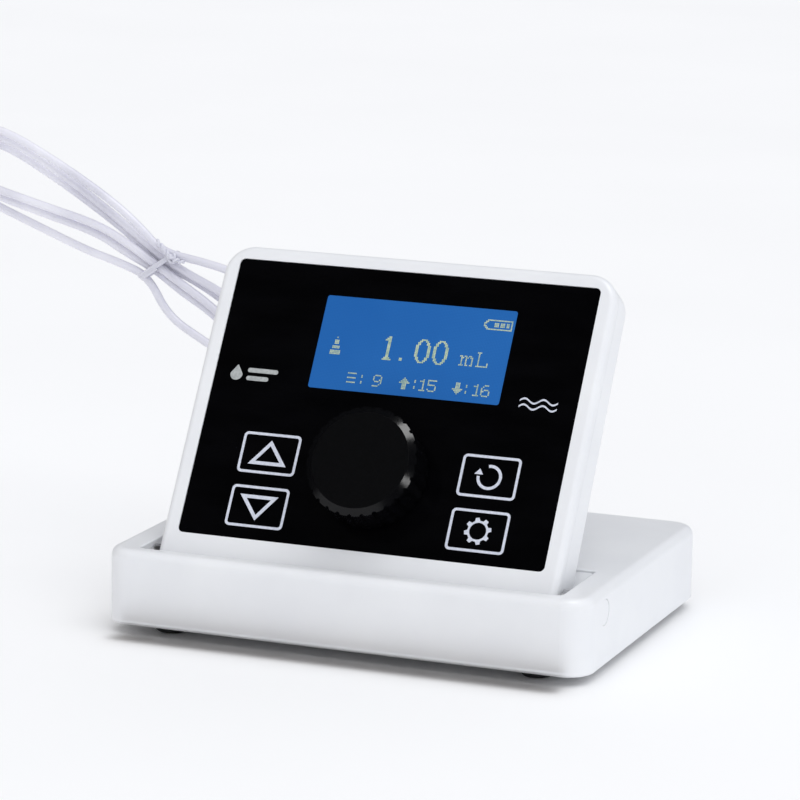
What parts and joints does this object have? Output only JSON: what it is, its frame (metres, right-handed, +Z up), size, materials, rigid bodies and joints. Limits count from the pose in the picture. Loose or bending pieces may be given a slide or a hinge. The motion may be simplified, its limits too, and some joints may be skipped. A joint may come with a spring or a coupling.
{
  "type": "syringe pump",
  "caption": "Bench-top syringe pump: a tilting control head with display, press-and-turn knob and keys on a low base that holds the drive and syringe.",
  "frame": {"origin": "on the bench, below the middle of the base's footprint, cord left out", "axes": "+X to the operator's right, +Y to the back, +Z up"},
  "size_m": [0.2746, 0.1365, 0.139],
  "materials": {
    "white_plastic": "satin moulded",
    "plate_plastic": "satin moulded",
    "rubber": "matt",
    "steel": "turned",
    "frame_steel": "plated sheet",
    "motor_can": "drawn can",
    "alloy": "anodised",
    "brass": "turned",
    "bush_plastic": "natural acetal",
    "seal": "smooth",
    "barrel_glass": "clear",
    "port_plastic": "natural moulded",
    "dark_plastic": "moulded",
    "panel_plastic": "fine texture",
    "rocker_black": "gloss",
    "battery_wrap": "shrink wrap",
    "board": "solder mask",
    "lens_black": "high gloss",
    "display_blue": "lit",
    "display_glass": "clear",
    "backlight": "diffusing",
    "key_black": "high gloss",
    "knob_black": "satin face, gloss edge",
    "cord_white": "smooth PVC",
    "tie_white": "smooth",
    "plug_white": "moulded PVC"
  },
  "bodies": {
    "base": {"base_housing": "white_plastic", "pivot_caps": "white_plastic", "base_plate": "plate_plastic", "rubber_feet": "rubber", "base_screws": "steel", "pivot_pins": "steel", "friction_washers": "steel", "guide_rod": "steel", "drive_frame": "frame_steel", "tail_plug_shell": "frame_steel", "drive_motor": "motor_can", "screw_bush": "brass", "syringe_barrel": "barrel_glass", "inlet_port": "port_plastic", "outlet_port": "port_plastic", "valve_block": "port_plastic", "barrel_clamp": "dark_plastic", "home_sensor": "dark_plastic", "dc_jack": "dark_plastic", "switch_frame": "dark_plastic", "port_plate": "panel_plastic", "rear_panel": "panel_plastic", "battery_pack": "battery_wrap", "power_board": "board", "cord_lead": "cord_white", "cord_hank": "cord_white", "cord_tail": "cord_white", "pivot_lead": "cord_white", "cord_tie": "tie_white", "dc_plug": "plug_white", "tail_plug_grip": "plug_white"},
    "head": {"head_front_shell": "white_plastic", "head_rear_cover": "white_plastic", "head_screws": "steel", "front_lens": "lens_black", "display_window": "display_blue", "display_glass": "display_glass", "display_frame": "frame_steel", "backlight": "backlight", "main_board": "board", "key_switches": "dark_plastic", "encoder_body": "dark_plastic", "encoder_bush": "brass", "pivot_bushes": "bush_plastic"},
    "screw": {"motor_shaft": "steel", "motor_coupling": "alloy", "lead_screw": "steel"},
    "carriage_unit": {"carriage": "alloy", "drive_nut": "brass", "plunger_rod": "steel", "plunger_seal": "seal"},
    "rocker": {"power_rocker": "rocker_black"},
    "knob_push": {"encoder_plunger": "dark_plastic"},
    "knob": {"control_knob": "knob_black", "encoder_shaft": "steel"},
    "cap_up": {"key_up": "key_black"},
    "cap_down": {"key_down": "key_black"},
    "cap_back": {"key_back": "key_black"},
    "cap_settings": {"key_settings": "key_black"}
  },
  "joints": [
    {"name": "head_tilt", "type": "hinge", "parent": "base", "child": "head", "pos_m": [0, -0.0395, 0.01999], "axis": [1, 0, 0], "range_deg": [-16, 20]},
    {"name": "knob_press", "type": "slide", "parent": "head", "child": "knob_push", "axis": [0, 0.854, -0.5203], "range_m": [0, 0.0005], "stiffness_N_per_m": 2000, "springref_m": -0.0005},
    {"name": "knob_turn", "type": "hinge", "parent": "knob_push", "child": "knob", "pos_m": [0, -0.02929, 0.05262], "axis": [0, -0.854, 0.5203], "continuous": true},
    {"name": "key_up_press", "type": "slide", "parent": "head", "child": "cap_up", "axis": [0, 0.854, -0.5203], "range_m": [0, 0.0005], "stiffness_N_per_m": 1500, "springref_m": -0.0004},
    {"name": "key_down_press", "type": "slide", "parent": "head", "child": "cap_down", "axis": [0, 0.854, -0.5203], "range_m": [0, 0.0005], "stiffness_N_per_m": 1500, "springref_m": -0.0004},
    {"name": "key_back_press", "type": "slide", "parent": "head", "child": "cap_back", "axis": [0, 0.854, -0.5203], "range_m": [0, 0.0005], "stiffness_N_per_m": 1500, "springref_m": -0.0004},
    {"name": "key_settings_press", "type": "slide", "parent": "head", "child": "cap_settings", "axis": [0, 0.854, -0.5203], "range_m": [0, 0.0005], "stiffness_N_per_m": 1500, "springref_m": -0.0004},
    {"name": "rocker_tip", "type": "hinge", "parent": "base", "child": "rocker", "pos_m": [0.0655, 0.052, 0.015], "axis": [1, 0, 0], "range_deg": [0, 12]},
    {"name": "screw_spin", "type": "hinge", "parent": "base", "child": "screw", "pos_m": [0, 0.016, 0.015], "axis": [1, 0, 0], "range_deg": [0, 8641]},
    {"name": "carriage_slide", "type": "slide", "parent": "base", "child": "carriage_unit", "axis": [1, 0, 0], "range_m": [0, 0.048]}
  ],
  "couplings": [
    {"joint": "screw_spin", "follows": "carriage_slide", "rad_per_m": 3141.6}
  ]
}
